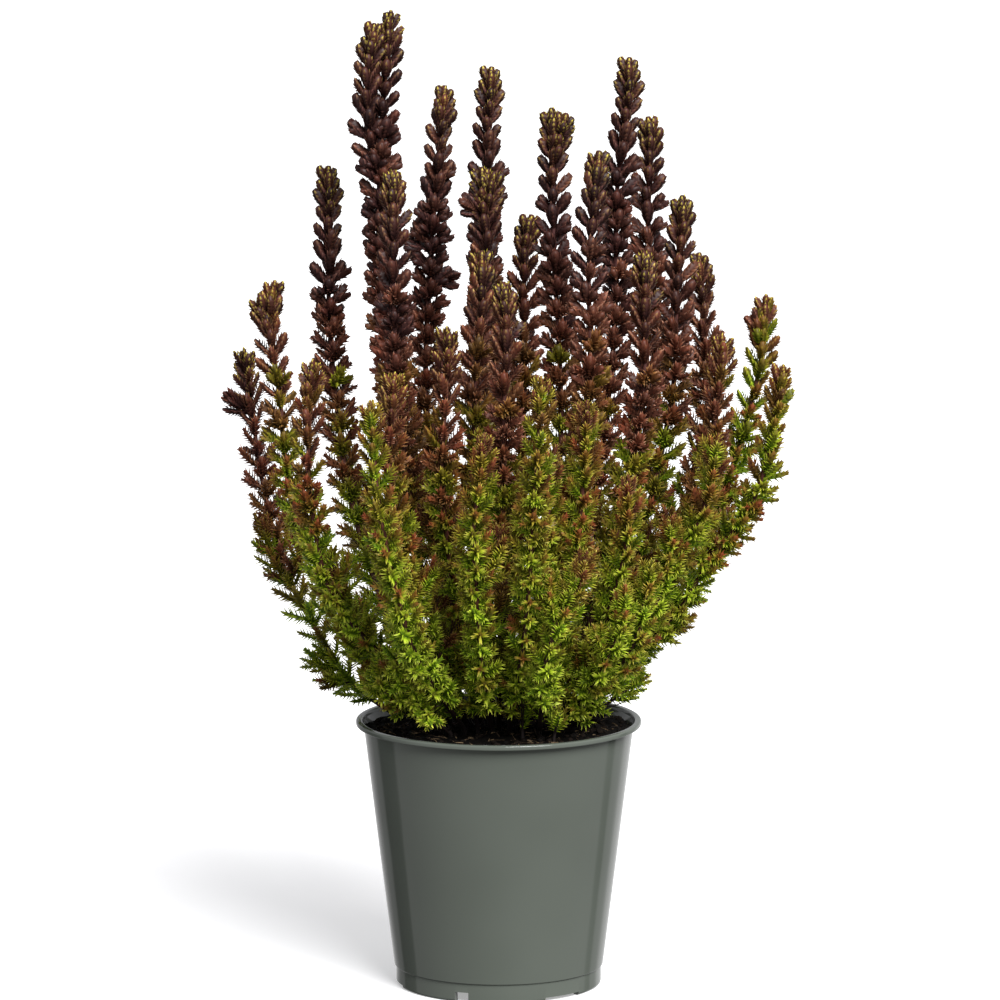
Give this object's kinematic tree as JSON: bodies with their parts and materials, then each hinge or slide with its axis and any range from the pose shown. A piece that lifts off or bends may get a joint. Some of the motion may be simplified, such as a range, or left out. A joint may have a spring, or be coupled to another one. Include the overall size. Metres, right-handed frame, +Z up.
{
  "type": "potted heather",
  "caption": "Heather plant with upright leafy spikes, dark red-brown above and green below, growing from dark peat in a tapered grey-green plastic pot.",
  "frame": {"origin": "on the pot's axis, in the plane that the foot ring stands on", "axes": "+Z up along the pot's axis; -Y is the side that the picture shows, so +X is to its right"},
  "size_m": [0.2411, 0.2136, 0.408],
  "materials": {
    "pot_plastic": "satin",
    "peat": "matte",
    "maroon_foliage": "matte",
    "olive_foliage": "matte",
    "green_foliage": "matte"
  },
  "bodies": {
    "root": {"pot": "pot_plastic", "soil": "peat", "tall_stem_01": "maroon_foliage", "tall_stem_02": "maroon_foliage", "tall_stem_03": "maroon_foliage", "tall_stem_04": "maroon_foliage", "tall_stem_05": "maroon_foliage", "tall_stem_06": "maroon_foliage", "tall_stem_07": "maroon_foliage", "tall_stem_08": "olive_foliage", "tall_stem_09": "maroon_foliage", "tall_stem_10": "maroon_foliage", "tall_stem_11": "maroon_foliage", "tall_stem_12": "maroon_foliage", "tall_stem_13": "maroon_foliage", "tall_stem_14": "olive_foliage", "tall_stem_15": "maroon_foliage", "tall_stem_16": "maroon_foliage", "tall_stem_17": "maroon_foliage", "tall_stem_18": "olive_foliage", "tall_stem_19": "olive_foliage", "tall_stem_20": "maroon_foliage", "tall_stem_21": "olive_foliage", "tall_stem_22": "maroon_foliage", "tall_stem_23": "olive_foliage", "tall_stem_24": "maroon_foliage", "tall_stem_25": "maroon_foliage", "tall_stem_26": "maroon_foliage", "tall_stem_27": "maroon_foliage", "tall_stem_28": "maroon_foliage", "tall_stem_29": "olive_foliage", "tall_stem_30": "maroon_foliage", "tall_stem_31": "maroon_foliage", "spray_01": "green_foliage", "spray_02": "green_foliage", "spray_03": "green_foliage", "spray_04": "green_foliage", "spray_05": "green_foliage", "spray_06": "green_foliage", "spray_07": "green_foliage", "spray_08": "green_foliage", "spray_09": "green_foliage", "spray_10": "green_foliage", "spray_11": "green_foliage", "spray_12": "green_foliage", "spray_13": "green_foliage", "spray_14": "green_foliage", "back_stem_01": "green_foliage", "back_stem_02": "green_foliage", "back_stem_03": "green_foliage"}
  },
  "joints": []
}
